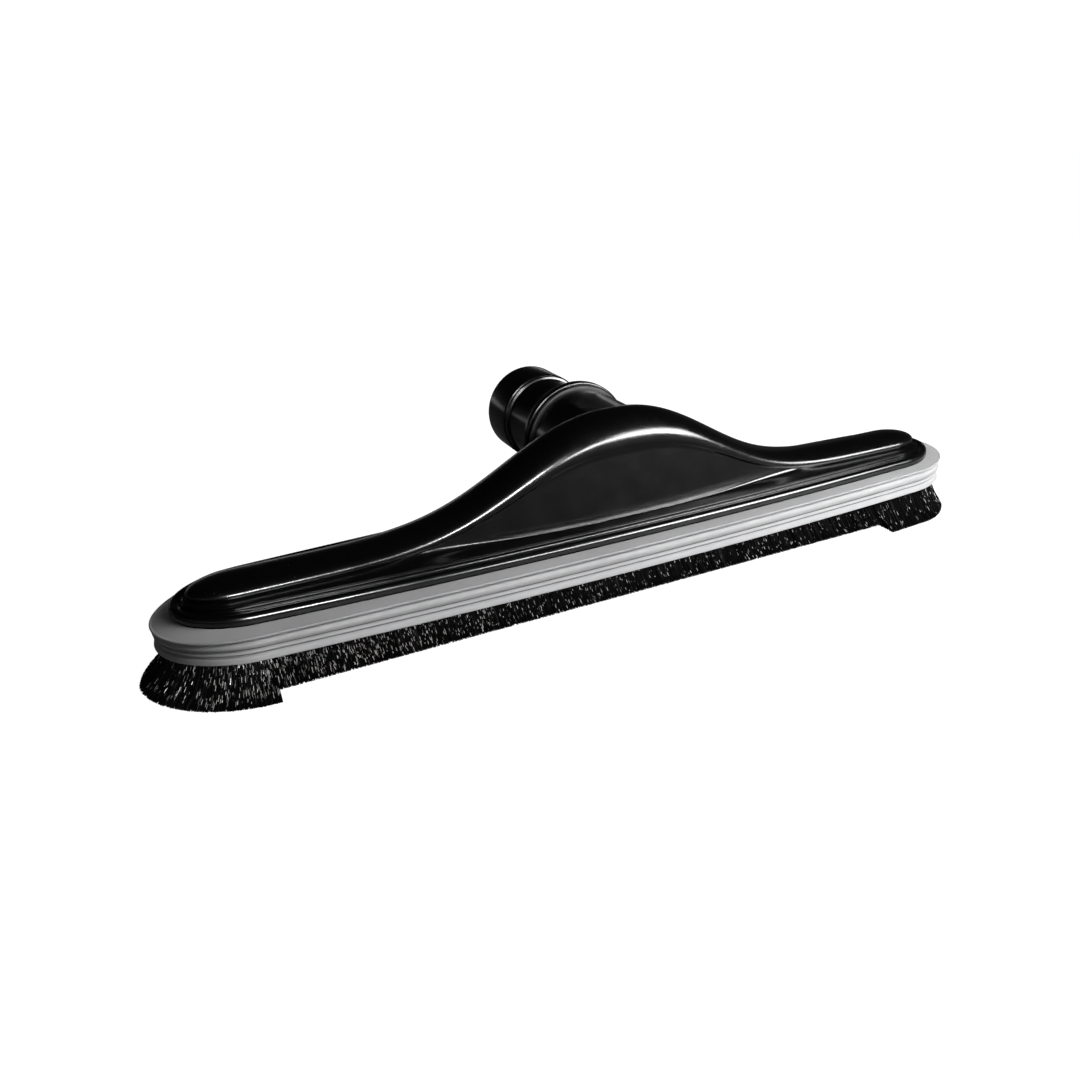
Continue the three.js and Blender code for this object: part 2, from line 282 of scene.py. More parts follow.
def roll_loop(angle, wall=0.0):
    """One level of the roll: angle runs from below 0 at its crease to a quarter turn at its top."""
    cosine = math.cos(angle)
    grow = cosine if angle > 0 else 1 - (1 - cosine) * ROLL_UNDERCUT_DEPTH
    length = (ROLL_END_LENGTH - wall) * grow
    xs, ys = loop_plan(ROLL_END_START, length, lambda x: (roll_width(x) - wall) * grow)
    sides = np.clip(xs, -ROLL_END_START, ROLL_END_START)
    foot = crease_z(sides)
    top = crest_z(sides) - wall
    middle = foot + ROLL_WAIST * (top - foot)
    if angle > 0:
        zs = middle + (top - middle) * math.sin(angle)
    else:
        zs = middle - (middle - foot) * (math.sin(-angle) / math.sin(ROLL_UNDERCUT))
    return np.column_stack([xs, ys, zs])


# ---- Materials ----------------------------------------------------------------------------


RANGE_SOCKETS = ("From Min", "From Max", "To Min", "To Max")


class Finish:
    """A node material with a Principled shader and short helpers for its pattern."""

    def __init__(self, name, color, roughness, **sockets):
        self.material = bpy.data.materials.new(name)
        self.material.use_nodes = True
        self.tree = self.material.node_tree
        self.shader = self.tree.nodes["Principled BSDF"]
        self.shader.inputs["Base Color"].default_value = (*color, 1)
        self.shader.inputs["Roughness"].default_value = roughness
        for socket, value in sockets.items():
            self.shader.inputs[socket.replace("_", " ")].default_value = value
        self.place = None
        self.height = None

    def node(self, kind, **settings):
        """A new node with these settings."""
        made = self.tree.nodes.new(kind)
        for key, value in settings.items():
            setattr(made, key, value)
        return made

    def noise(self, size_mm, detail, stretch=(1, 1, 1)):
        """Noise whose lumps are about size_mm across."""
        if self.place is None:
            self.place = self.node("ShaderNodeTexCoord").outputs["Object"]
        mapping = self.node("ShaderNodeMapping")
        mapping.inputs["Scale"].default_value = stretch
        self.tree.links.new(self.place, mapping.inputs["Vector"])
        made = self.node("ShaderNodeTexNoise")
        made.inputs["Scale"].default_value = 1 / (size_mm * MM)
        made.inputs["Detail"].default_value = detail
        self.tree.links.new(mapping.outputs["Vector"], made.inputs["Vector"])
        return made.outputs["Fac"]

    def ranged(self, source, low, high, start=0.3, end=0.7):
        """The source spread from start..end to low..high, clamped."""
        made = self.node("ShaderNodeMapRange")
        for socket, value in zip(RANGE_SOCKETS, (start, end, low, high)):
            made.inputs[socket].default_value = value
        self.tree.links.new(source, made.inputs["Value"])
        return made.outputs["Result"]

    def roughness(self, source):
        """The source becomes the roughness."""
        self.tree.links.new(source, self.shader.inputs["Roughness"])
        return self

    def colors(self, source, first, second):
        """The base colour runs from first to second with the source."""
        made = self.node("ShaderNodeMix", data_type="RGBA")
        self.tree.links.new(source, made.inputs["Factor"])
        base = self.shader.inputs["Base Color"]
        if base.is_linked:
            self.tree.links.new(base.links[0].from_socket, made.inputs["A"])
        else:
            made.inputs["A"].default_value = (*first, 1)
        made.inputs["B"].default_value = (*second, 1)
        self.tree.links.new(made.outputs["Result"], base)
        return self

    def bump(self, source, depth_mm, strength):
        """The source raises the surface by depth_mm, on top of any earlier bump."""
        made = self.node("ShaderNodeBump")
        made.inputs["Distance"].default_value = depth_mm * MM
        made.inputs["Strength"].default_value = strength
        self.tree.links.new(source, made.inputs["Height"])
        if self.height is not None:
            self.tree.links.new(self.height, made.inputs["Normal"])
        self.height = made.outputs["Normal"]
        self.tree.links.new(self.height, self.shader.inputs["Normal"])
        return self


def gloss_black_finish():
    """Moulded black plastic: a polished skin with faint orange peel, haze and a little dust."""
    made = Finish("gloss_black", (0.002, 0.002, 0.0022), 0.17, IOR=1.5)
    made.roughness(made.ranged(made.noise(9, 4), 0.15, 0.22))
    made.bump(made.noise(1.4, 2), 0.012, 0.6)
    made.bump(made.noise(0.45, 1), 0.014, 1.0)
    dust = made.ranged(made.noise(0.55, 1), 0, 1, 0.75, 0.79)
    return made.colors(dust, (0.002, 0.002, 0.0022), (0.03, 0.03, 0.031)).material


def grey_vinyl_finish():
    """Soft grey vinyl with a matt skin, slightly marbled and scuffed."""
    made = Finish("grey_vinyl", (0.42, 0.421, 0.427), 0.56, Specular_IOR_Level=0.3)
    made.roughness(made.ranged(made.noise(6, 3), 0.5, 0.62))
    made.bump(made.noise(0.7, 3), 0.02, 0.5)
    cloud = made.ranged(made.noise(16, 4), 0, 1)
    made.colors(cloud, (0.4, 0.401, 0.407), (0.44, 0.441, 0.447))
    scuff = made.ranged(made.noise(1.1, 2, (0.25, 1, 1)), 0, 1, 0.7, 0.8)
    return made.colors(scuff, None, (0.5, 0.5, 0.505)).material


def groove_painted_shade_finish():
    """The same vinyl, coloured darker as painted shade in its grooves."""
    made = Finish("groove_painted_shade", (0.14, 0.14, 0.143), 0.6)
    made.roughness(made.ranged(made.noise(3, 3), 0.6, 0.8))
    cloud = made.ranged(made.noise(7, 4), 0, 1)
    return made.colors(cloud, (0.11, 0.11, 0.113), (0.18, 0.18, 0.183)).material


def matte_black_finish():
    """Black moulding with a fine spark-eroded grain."""
    made = Finish("matte_black", (0.016, 0.016, 0.017), 0.55)
    made.roughness(made.ranged(made.noise(4, 3), 0.45, 0.64))
    made.bump(made.noise(0.5, 2), 0.05, 0.6)
    cloud = made.ranged(made.noise(12, 3), 0, 1)
    return made.colors(cloud, (0.013, 0.013, 0.014), (0.022, 0.022, 0.022)).material


def zinc_finish():
    """Bright zinc plate with drawn streaks and dull patches."""
    made = Finish("zinc_steel", (0.58, 0.59, 0.6), 0.32, Metallic=1.0)
    made.roughness(made.ranged(made.noise(2.2, 4, (0.12, 1, 1)), 0.22, 0.46))
    made.bump(made.noise(0.6, 2, (0.1, 1, 1)), 0.01, 0.5)
    patch = made.ranged(made.noise(5, 5), 0, 1, 0.35, 0.65)
    return made.colors(patch, (0.6, 0.61, 0.62), (0.44, 0.45, 0.46)).material


def rubber_finish():
    """Dark moulded rubber with a dull bloom."""
    made = Finish("seal_rubber", (0.014, 0.014, 0.015), 0.5)
    made.roughness(made.ranged(made.noise(3, 3), 0.38, 0.58))
    made.bump(made.noise(0.4, 2), 0.02, 0.6)
    bloom = made.ranged(made.noise(5, 4), 0, 1)
    return made.colors(bloom, (0.011, 0.011, 0.012), (0.024, 0.024, 0.025)).material


gloss_black = gloss_black_finish()
grey_vinyl = grey_vinyl_finish()
# A darker vinyl that paints the shade in the bumper's grooves
groove_painted_shade = groove_painted_shade_finish()
matte_black = matte_black_finish()
zinc_steel = zinc_finish()
seal_rubber = rubber_finish()

# Hair comes in a few tones, mostly black; the grey and light tones colour only the glints, which
# are painted highlights: name, brightness, roughness and shine
HAIR_TONES = [
    ("hair_black", 0.0012, 0.6, 0.025),
    ("hair_dark", 0.01, 0.5, 0.08),
    ("hair_painted_dim_glint", 0.14, 0.4, 0.5),
    ("hair_painted_glint", 0.84, 0.35, 1.0),
]


def hair_finish(name, bright, rough, shine):
    """Horsehair of one tone, uneven along each hair."""
    pale, dull = (bright,) * 3, (0.6 * bright,) * 3
    made = Finish(name, pale, rough, Specular_IOR_Level=shine)
    made.roughness(made.ranged(made.noise(1.2, 2), rough - 0.1, rough + 0.1))
    return made.colors(made.ranged(made.noise(2.5, 3), 0, 1), dull, pale).material


hair_tones = [hair_finish(*tone) for tone in HAIR_TONES]


# ---- Housing ------------------------------------------------------------------------------


def outline_stack(profile):
    """Outline loops from (inset, z) or (inset, z, curl) levels."""
    return [outline_loop(*level) for level in profile]


def panel_loops(foot, crease, levels):
    """The flat panels from foot to crease: a slight draft, and a concave foot running out flat."""
    rise = np.maximum(crease[:, 2] - foot[:, 2], SMALLEST_PANEL)
    reach = np.maximum(np.linalg.norm((foot - crease)[:, :2], axis=1), SMALLEST_PANEL)
    draft = np.minimum(PANEL_DRAFT * rise / reach, PANEL_DRAFT_MOST)
    fillet = PANEL_FILLET - PANEL_FILLET_LOSS * bell(
        crease[:, 0], PANEL_FILLET_SPREAD, PANEL_FILLET_SHARPNESS
    )
    run_out = np.exp(-rise / fillet)
    loops = []
    for level in levels:
        curve = (np.exp(-rise * level / fillet) - run_out) / (1 - run_out)
        weight = ((1 - draft) * curve + draft * (1 - level))[:, None]
        loop = crease + (foot - crease) * weight
        loop[:, 2] = foot[:, 2] + (crease[:, 2] - foot[:, 2]) * level
        loops.append(loop)
    return loops


def domed_stack(name, loops):
    """A solid with a flat face at its first loop, whose last loop closes on itself."""
    points, faces = loops_mesh(loops, cap_first=True)
    return fix_normals(mesh_object(name, points, faces, HEAD_SHARP))


def cut(target, other, operation):
    """Joins or cuts target with other and removes other."""
    modifier = target.modifiers.new("cut", "BOOLEAN")
    modifier.operation = operation
    modifier.object = other
    modifier.solver = "MANIFOLD"
    graph = bpy.context.evaluated_depsgraph_get()
    mesh = bpy.data.meshes.new_from_object(target.evaluated_get(graph))
    target.modifiers.clear()
    target.data = mesh
    bpy.data.objects.remove(other)


def lathe_loops(profile):
    """Loops round the neck's axis from (radius, y) points."""
    angles = np.linspace(0, 2 * math.pi, NECK_SEGMENTS, endpoint=False)
    return [
        np.column_stack([r * np.cos(angles), np.full_like(angles, y), neck_z + r * np.sin(angles)])
        for r, y in profile
    ]


def turned(name, corners, steps=5):
    """A ring turned round the neck's axis from rounded (radius, y, rounding) corners."""
    points, faces = loops_mesh(lathe_loops(rounded(corners, steps)), wrap_rows=True)
    return fix_normals(mesh_object(name, points, faces))


def plug(name, levels):
    """A solid of revolution on the neck's axis, closed by a flat face at each end."""
    points, faces = loops_mesh(lathe_loops(levels), cap_first=True, cap_last=True)
    return fix_normals(mesh_object(name, points, faces))


GAP = 0.3
NECK_SEGMENTS = 192
SOCKET_RADIUS = 22.2
SOCKET_START = 2
SOCKET_ROUNDING = 1.2
SOCKET_BORE = 18.8
SOCKET_CHAMFER = 0.8
SNAP_POCKET = 20.6
POCKET_START = 4
POCKET_END = 18
rim_z = sole_high[2] + GAP
socket_mouth = seal_low[1] - mid_y - GAP

# The skirt and its bead, from the rim up: (inset, z) or (inset, z, curl)
bead_profile = [
    (7.8, rim_z),
    (7.5, rim_z + 0.3),
    (7.5, 22.8),
    (6.95, 22.95),
    (6.75, 23.15),
    (6.75, 24.35),
    (6.76, 24.65),
    (6.93, 25.08),
    (7.15, 25.64),
    (7.6, 26.06),
    (8.1, 26.24),
    (8.8, 26.28),
    (9.4, 26.18),
    (9.9, 25.94),
    (10.3, 25.7),
    (10.8, 25.62),
    (11.1, 25.64),
    (11.2, 25.92, -0.4),
    (11.36, 26.04, -0.4),
    (11.8, 25.95, -0.6),
    (12.5, 25.9, -1),
    (13.1, 26.0, -1.5),
    (13.25, 26.9, -2),
    (13.4, 27.05, -2),
    (13.6, 27.05, -2),
]
# The panels' foot, tucked in behind the bead: (inset, z, curl)
panel_foot = (PANEL_FOOT_INSET - 0.35, PANEL_FOOT_Z + 0.1, -2)
# The same inside the shell, and the skirt's inside up to it: (inset, z)
inner_foot = (PANEL_FOOT_INSET + SHELL_WALL - 1, 24.2)
inner_profile = [(10.1, rim_z - 1), (10.1, 23.2), (10.9, 24)]
# How far up the panels the levels are, close together in their concave foot
panel_levels = [0, *np.geomspace(0.003, 0.4, 18), 0.55, 0.7, 0.85, 0.95, 1]
outer_roll_angles = np.radians(np.concatenate([np.linspace(-14, 78, 15), [82, 86, 90]]))
inner_roll_angles = np.radians([20, 40, 58, 74, 84, 90])


def outer_loops():
    """The housing's outside, from its rim to the top of the roll."""
    return (
        outline_stack(bead_profile)
        + panel_loops(outline_loop(*panel_foot), roll_loop(-ROLL_UNDERCUT), panel_levels)
        + [roll_loop(angle) for angle in outer_roll_angles]
    )


def hollow_loops():
    """The housing's inside, open at the rim."""
    crease = roll_loop(0.0, SHELL_WALL)
    return (
        outline_stack(inner_profile)
        + panel_loops(outline_loop(*inner_foot), crease, panel_levels[::3] + [1])
        + [roll_loop(angle, SHELL_WALL) for angle in inner_roll_angles]
    )


def make_housing():
    """The moulded shell, with the neck's socket behind the hump."""
    housing = domed_stack("housing_shell", outer_loops())
    flat = SOCKET_RADIUS - SOCKET_ROUNDING
    edge = socket_mouth - SOCKET_ROUNDING
    socket = [(SOCKET_RADIUS, SOCKET_START), (SOCKET_RADIUS, edge)] + [
        (flat + SOCKET_ROUNDING * math.cos(a), edge + SOCKET_ROUNDING * math.sin(a))
        for a in np.linspace(0.2, math.pi / 2, 7)
    ]
    cut(housing, plug("socket", socket), "UNION")
    cut(housing, domed_stack("hollow", hollow_loops()), "DIFFERENCE")
    bore = [
        (SNAP_POCKET, POCKET_START),
        (SNAP_POCKET, POCKET_END),
        (SOCKET_BORE, POCKET_END + 0.01),
        (SOCKET_BORE, socket_mouth - SOCKET_CHAMFER),
        (SOCKET_BORE + SOCKET_CHAMFER, socket_mouth + 0.01),
        (SOCKET_BORE + SOCKET_CHAMFER, socket_mouth + 2),
    ]
    cut(housing, plug("bore", bore), "DIFFERENCE")
    shade(housing.data, HEAD_SHARP)
    finish_piece(housing, "head", ["upper_housing"], gloss_black)


make_housing()


# ---- Bumper -------------------------------------------------------------------------------

LIP_Z = 20.7
OUTER_INSETS = 3.0
GROOVE_CURL = 1.25
GROOVE_INSETS = (0.9, 2.0)
GROOVES = [(14.95, 15.5), (16.75, 17.3), (20.0, 20.68)]
LIP_LIFT_X = [-176, -150, -100, 0, 176]
LIP_LIFT = [-1.0, 0.1, 0.8, 1.1, 1.2]
LIFT_START = 17.6

# The bumper's section: (inset, z, rounding)
bumper_corners = [
    (0.95, 12.3, 0.25),
    (0.0, 12.6, 0.3),
    (0.65, 14.4, 0.5),
    (1.35, 15.0, 0.15),
    (1.35, 15.4, 0.15),
    (0.5, 15.8, 0.25),
    (0.75, 16.4, 0.5),
    (1.5, 16.8, 0.15),
    (1.5, 17.2, 0.15),
    (0.4, 17.7, 0.5),
    (0.3, 18.8, 2.0),
    (1.0, 19.9, 0.5),
    (1.8, 20.05, 0.1),
    (1.8, 20.6, 0.1),
    (0.1, 20.72, 0.15),
    (0.0, 21.3, 0.25),
    (0.35, 21.62, 0.2),
    (0.95, 21.5, 0.3),
    (7.2, 22.6, 0.35),
    (7.2, 20.9, 0.2),
    (3.1, 19.8, 0.4),
    (3.1, 12.3, 0.4),
]


def bumper_loop(inset, z):
    """One level of the bumper. Its lip droops at the left end, where the grooves are deeper."""
    loop = outline_loop(inset, z)
    if in_groove(inset, z):
        curled = outline_loop(inset, z, GROOVE_CURL)
        loop[loop[:, 0] < 0] = curled[loop[:, 0] < 0]
    if inset < OUTER_INSETS:
        share = np.clip((z - LIFT_START) / (LIP_Z - LIFT_START), 0, 1)
        loop[:, 2] += share * np.interp(loop[:, 0], LIP_LIFT_X, LIP_LIFT)
    return loop


def in_groove(inset, z):
    """Whether a point of the section is inside one of the grooves."""
    near, far = GROOVE_INSETS
    return near < inset < far and any(low < z < high for low, high in GROOVES)


def make_bumper():
    """The vinyl strip, with painted shade in its grooves."""
    profile = rounded(bumper_corners, 4)
    points, faces = loops_mesh([bumper_loop(*spot) for spot in profile], wrap_rows=True)
    # Faces inside the grooves take the darker vinyl: painted shade
    painted_shade_faces = [in_groove(*middle) for middle in (profile + np.roll(profile, -1, axis=0)) / 2]
    bumper = mesh_object("bumper_strip", points, faces, BUMPER_SHARP)
    finish_piece(bumper, "head", ["bumper"], grey_vinyl)
    bumper.data.materials.append(groove_painted_shade)
    per_face = np.repeat(painted_shade_faces, len(points) // len(profile)).astype(np.int32)
    bumper.data.polygons.foreach_set("material_index", per_face)
    fix_normals(bumper)


make_bumper()


# ---- Hair ---------------------------------------------------------------------------------

HAIR_SEED = 1414
CORE_MARGIN = 0.6
CORE_END_MARGIN = 0.3
CORE_SECTIONS = 81
TIP_SCATTER = 0.13
ELBOW_OUT = 0.3
ELBOW_DOWN = 0.62
RIGHT_END_FLARE = 0.3
RIGHT_PULL_CURVE = 0.9
LEFT_REAR_PULL = 2.2
REAR_PULL_START = -4.0
REAR_PULL_SPAN = 16.0
NOTCH_RAMP = 4.5
NOTCH_RAMP_CURVE = 1.3
NOTCH_OVERLAP = 0.2
HAIR_MARGIN = 0.3
NEAR_FACE_SHARE = 0.62
NEAR_FACE_DEPTH = 0.16
NEAR_FACE_CURVE = 1.8
SWAY = 0.14
TIP_RISE = 0.07
ROOT_RISE = 0.2
CLUMP_SIZE = 1.3
CLUMP_SHARE = 0.2
CLUMP_JITTERS = 1009


def bend(roots, tips, t):
    """The point a share t of the way down hair that leaves its root steeply and then leans out."""
    elbow = roots + (tips - roots) * [ELBOW_OUT, ELBOW_OUT, ELBOW_DOWN]
    return (1 - t) ** 2 * roots + 2 * t * (1 - t) * elbow + t * t * tips


def tip_loop(inset):
    """The tips' plan outline; the right end and the back of the left end splay less."""
    loop = outline_loop(inset, 0)
    past = np.clip((np.abs(loop[:, 0]) - side_half) / (END_LENGTH - inset), 0, 1)
    right = loop[:, 0] > 0
    rearward = np.clip((loop[:, 1] - REAR_PULL_START) / REAR_PULL_SPAN, 0, 1)
    loop[:, 0] -= right * (BRISTLE_FLARE - RIGHT_END_FLARE) * past**RIGHT_PULL_CURVE
    loop[:, 0] += ~right * LEFT_REAR_PULL * past * rearward
    return loop


def tip_height(tips):
    """Height of long tips: on the floor, ramping up to the trimmed line at the right notch."""
    ramp = np.clip((tips[:, 0] - notch_right) / NOTCH_RAMP, 0, 1)
    front_right = (tips[:, 1] < 0) & (tips[:, 0] > 0)
    return np.where(front_right, trim_z * (1 - ramp) ** NOTCH_RAMP_CURVE, 0)


def dense(loop, steps=4000):
    """The plan points of a loop, resampled finely."""
    closed = np.vstack([loop, loop[:1]])[:, :2]
    spots = np.linspace(0, len(loop), steps, endpoint=False)
    whole = np.arange(len(closed))
    return np.column_stack([np.interp(spots, whole, closed[:, k]) for k in (0, 1)])


def end_hair_ends(rng, depth, inside):
    """Roots and tips of the long hair where inside(x) holds, one for each depth into the brush."""
    root_out = dense(outline_loop(BRUSH_INSET + HAIR_MARGIN, 0))
    root_in = dense(outline_loop(BRUSH_INSET + BRUSH_WIDTH - HAIR_MARGIN, 0))
    tip_out = dense(tip_loop(-BRISTLE_FLARE))
    tip_in = dense(tip_loop(LONG_TIP_WIDTH - BRISTLE_FLARE))
    keep = np.flatnonzero(inside(root_out[:, 0]) & inside(tip_out[:, 0]))
    step = np.linalg.norm(np.diff(tip_out, axis=0, append=tip_out[:1]), axis=1)[keep]
    picked = keep[rng.choice(len(keep), len(depth), p=step / step.sum())]
    depth = depth[:, None]
    roots = root_out[picked] * (1 - depth) + root_in[picked] * depth
    tips = tip_out[picked] * (1 - depth) + tip_in[picked] * depth
    return roots, tips


def outward(rng, count):
    """Depths into the brush from 0, outside, to 1: most hair lies near the outer face."""
    depth = rng.random(count)
    near = rng.random(count) < NEAR_FACE_SHARE
    shallow = depth**NEAR_FACE_CURVE * NEAR_FACE_DEPTH
    return np.where(near, shallow, 1 - depth * (1 - NEAR_FACE_DEPTH))


def row_hair_ends(rng, depth, side, tip_outer):
    """Roots and tips of a straight row between the notches, one for each depth into it."""
    length = notch_right - notch_left + 2 * NOTCH_OVERLAP
    xs = notch_left - NOTCH_OVERLAP + length * rng.random(len(depth))
    width = bumper_width_at(BRUSH_INSET + HAIR_MARGIN)(xs)
    roots = np.column_stack([xs, side * (width - depth * (BRUSH_WIDTH - 2 * HAIR_MARGIN))])
    tips = np.column_stack([xs, side * (tip_outer - depth * TIP_WIDTH)])
    return roots, tips


def clumped(values, rng):
    """Values drawn part of the way towards the uneven centres of clumps."""
    jitter = rng.random(CLUMP_JITTERS)
    cell = np.floor(values / CLUMP_SIZE).astype(int)
    centre = (cell + 0.25 + 0.5 * jitter[cell % len(jitter)]) * CLUMP_SIZE
    return values + CLUMP_SHARE * (centre - values)


def strand_faces(rings):
    """The faces of one closed three-sided strand with this many rings of points."""
    sides = [
        (ring * 3 + c, ring * 3 + (c + 1) % 3, ring * 3 + 3 + (c + 1) % 3, ring * 3 + 3 + c)
        for ring in range(rings - 1)
        for c in range(3)
    ]
    last = 3 * rings - 3
    return [(2, 1, 0)] + sides + [(last, last + 1, last + 2)]


def strands(roots, tips, shares, radii, rng):
    """Points and faces of strands with a ring at each share of the way from root to tip."""
    count, rings = shares.shape
    points = np.empty((count, rings, 3, 3))
    turn = rng.random(count) * 2 * math.pi
    sway = rng.normal(0, SWAY, (count, 2))
    for ring in range(rings):
        t = shares[:, ring, None]
        middle = bend(roots, tips, t)
        middle[:, :2] += sway * (4 * t * (1 - t))
        for corner in range(3):
            angle = turn + corner * 2 * math.pi / 3
            points[:, ring, corner] = middle
            points[:, ring, corner, 0] += radii[ring] * np.cos(angle)
            points[:, ring, corner, 1] += radii[ring] * np.sin(angle)
    starts = 3 * rings * np.arange(count)
    one = strand_faces(rings)
    faces = [tuple(int(start + k) for k in face) for start in starts for face in one]
    return points.reshape(-1, 3), faces


def raised(ends, heights):
    """Plan ends with their heights added."""
    return np.column_stack([ends, np.broadcast_to(heights, len(ends))])


HAIR_SHARES = (0.0, 0.35, 0.7, 1.0)
HAIR_RADII = (0.15, 0.155, 0.15, 0.11)
HAIR_DARK_SHARE = 0.06
# The glints are short pale lengths on the brush's face: painted highlights
GLINT_RADII = (0.09, 0.09)
GLINT_DEPTH = -0.045
GLINT_FIRST = 0.04
GLINT_SPREAD = 0.8
GLINT_LENGTH = (0.03, 0.125)
GLINT_TONES = [0.0, 0.1, 0.35, 0.55]


def hair_piece(name, node, hair_ends, glint_ends, core, rng):
    """A brush section: hairs round a dark heart, and the short pale lengths on its face, which are
    painted highlights (glints).
    """
    roots, tips = hair_ends
    count = len(roots)
    shares = np.tile(HAIR_SHARES, (count, 1))
    hair = strands(raised(roots, root_z + ROOT_RISE), tips, shares, HAIR_RADII, rng)
    roots, tips = glint_ends
    glints = len(roots)
    start = GLINT_FIRST + GLINT_SPREAD * rng.random(glints)
    shares = np.column_stack([start, start + rng.uniform(*GLINT_LENGTH, glints)])
    pale = strands(raised(roots, root_z + ROOT_RISE), tips, shares, GLINT_RADII, rng)
    points, faces = [], []
    for part_points, part_faces in (hair, pale, core):
        base = sum(len(part) for part in points)
        points.append(part_points)
        faces += [tuple(base + k for k in face) for face in part_faces]
    obj = mesh_object(name, np.vstack(points), faces, HAIR_SHARP)
    for tone in hair_tones:
        obj.data.materials.append(tone)
    hair_tone = (rng.random(count) < HAIR_DARK_SHARE).astype(int)
    # The glints take the pale tones of painted highlight
    glint_tone = rng.choice(len(GLINT_TONES), glints, p=GLINT_TONES)
    per_face = np.concatenate(
        [
            np.repeat(hair_tone, len(hair[1]) // count),
            np.repeat(glint_tone, len(pale[1]) // glints),
            np.zeros(len(core[1]), int),
        ]
    )
    obj.data.polygons.foreach_set("material_index", per_face.astype(np.int32))
    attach(obj, "head")
    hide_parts(node)


CORE_LEVELS = (0.0, 0.3, 0.6, 0.8, 0.985)


def core_section(root_out, root_in, tip_out, tip_in):
    """One closed section of a brush's solid heart, following the bend of the hair."""
    outer = [bend(root_out, tip_out, t) for t in CORE_LEVELS]
    inner = [bend(root_in, tip_in, t) for t in CORE_LEVELS]
    return np.array(outer + inner[::-1])


def row_core(side, tip_z, tip_outer):
    """The solid heart of a straight row."""
    sections = []
    first, last = notch_left + CORE_END_MARGIN, notch_right - CORE_END_MARGIN
    for x in np.linspace(first, last, CORE_SECTIONS):
        width = bumper_width_at(BRUSH_INSET)(x)
        top = root_z + ROOT_RISE
        sections.append(
            core_section(
                np.array([x, side * (width - CORE_MARGIN), top]),
                np.array([x, side * (width - BRUSH_WIDTH + CORE_MARGIN), top]),
                np.array([x, side * (tip_outer - CORE_MARGIN), tip_z]),
                np.array([x, side * (tip_outer - TIP_WIDTH + CORE_MARGIN), tip_z]),
            )
        )
    if side > 0:
        sections = sections[::-1]
    return loops_mesh(sections, cap_first=True, cap_last=True)


def end_core(inside):
    """The solid heart of the long hair round an end."""
    levels = [
        outline_loop(BRUSH_INSET + CORE_MARGIN, root_z + ROOT_RISE),
        outline_loop(BRUSH_INSET + BRUSH_WIDTH - CORE_MARGIN, root_z + ROOT_RISE),
        tip_loop(CORE_MARGIN - BRISTLE_FLARE),
        tip_loop(LONG_TIP_WIDTH - BRISTLE_FLARE - CORE_MARGIN),
    ]
    for level in levels[2:]:
        level[:, 2] = tip_height(level)
    held = np.flatnonzero(np.all([inside(level[:, 0]) for level in levels], axis=0))
    breaks = np.flatnonzero(np.diff(held) > 1)
    if len(breaks):
        held = np.concatenate([held[breaks[0] + 1 :], held[: breaks[0] + 1]])
    sections = [core_section(*(level[i] for level in levels)) for i in held]
    return loops_mesh(sections, cap_first=True, cap_last=True)


def thinned(ends, crowding, rng):
    """Keeps each of the ends with the chance that crowding, (xs, chances), gives for its root."""
    roots, tips = ends
    kept = rng.random(len(roots)) < np.interp(roots[:, 0], *crowding)
    return roots[kept], tips[kept]


def row_ends(rng, depth, side, tip_z, tip_outer):
    """The ends of the hair of a straight row, with its tips gathered and scattered a little."""
    roots, tips = row_hair_ends(rng, depth, side, tip_outer)
    tips[:, 0] = clumped(tips[:, 0], rng) + rng.normal(0, TIP_SCATTER, len(depth))
    np.clip(tips[:, 0], notch_left - NOTCH_OVERLAP, notch_right + NOTCH_OVERLAP, out=tips[:, 0])
    return roots, raised(tips, tip_z + np.abs(rng.normal(0, TIP_RISE, len(depth))))


def end_ends(rng, depth, inside):
    """The ends of the long hair where inside(x) holds, with its tips scattered a little."""
    roots, tips = end_hair_ends(rng, depth, inside)
    nudged = tips + rng.normal(0, TIP_SCATTER, tips.shape)
    tips = np.where(inside(nudged[:, 0])[:, None], nudged, tips)
    return roots, raised(tips, tip_height(tips) + np.abs(rng.normal(0, TIP_RISE, len(tips))))


def make_section(name, node, counts, crowding, ends_at, core, rng):
    """One section from its numbers of hairs and of pale lengths (painted glints), at most, before
    they thin out.
    """
    hairs, glints = counts
    hair_ends = ends_at(outward(rng, hairs))
    glint_ends = thinned(ends_at(np.full(glints, GLINT_DEPTH)), crowding, rng)
    hair_piece(name, node, hair_ends, glint_ends, core, rng)


def make_row(name, node, counts, crowding, shape, rng):
    """A straight row from its side of the head and its tips' height and outer distance."""
    side, tip_z, tip_outer = shape

    def ends_at(depth):
        return row_ends(rng, depth, side, tip_z, tip_outer)

    make_section(name, node, counts, crowding, ends_at, row_core(side, tip_z, tip_outer), rng)


def make_end(name, node, counts, crowding, inside, rng):
    """The long hair round the end where inside(x) holds."""

    def ends_at(depth):
        return end_ends(rng, depth, inside)

    make_section(name, node, counts, crowding, ends_at, end_core(inside), rng)


def on_left(x):
    return x < notch_left


def on_right(x):
    return x > notch_right


# Where the painted glints are kept more often, as the light catches more of the hair there: (xs,
# chances)
FRONT_CROWDING = ([-144, -100, -50, 0, 120], [1.0, 0.7, 0.32, 0.18, 0.13])
REAR_CROWDING = ([0], [0.5])
LEFT_CROWDING = ([-178, -165, -144], [0.03, 0.3, 0.9])
RIGHT_CROWDING = ([120, 160, 174], [0.2, 0.25, 0.6])


def make_hair():
    """The four sections, one after another, from one run of random numbers."""
    rng = np.random.default_rng(HAIR_SEED)
    front = (-1, trim_z, mid_y - front_low[1])
    rear = (1, 0.0, rear_high[1] - mid_y)
    make_row("front_hair", "front_bristles", (8200, 3200), FRONT_CROWDING, front, rng)
    make_row("rear_hair", "rear_bristles", (7500, 900), REAR_CROWDING, rear, rng)
    make_end("left_hair", "left_bristles", (7000, 2300), LEFT_CROWDING, on_left, rng)
    make_end("right_hair", "right_bristles", (8200, 1100), RIGHT_CROWDING, on_right, rng)


make_hair()


# ---- Neck ---------------------------------------------------------------------------------

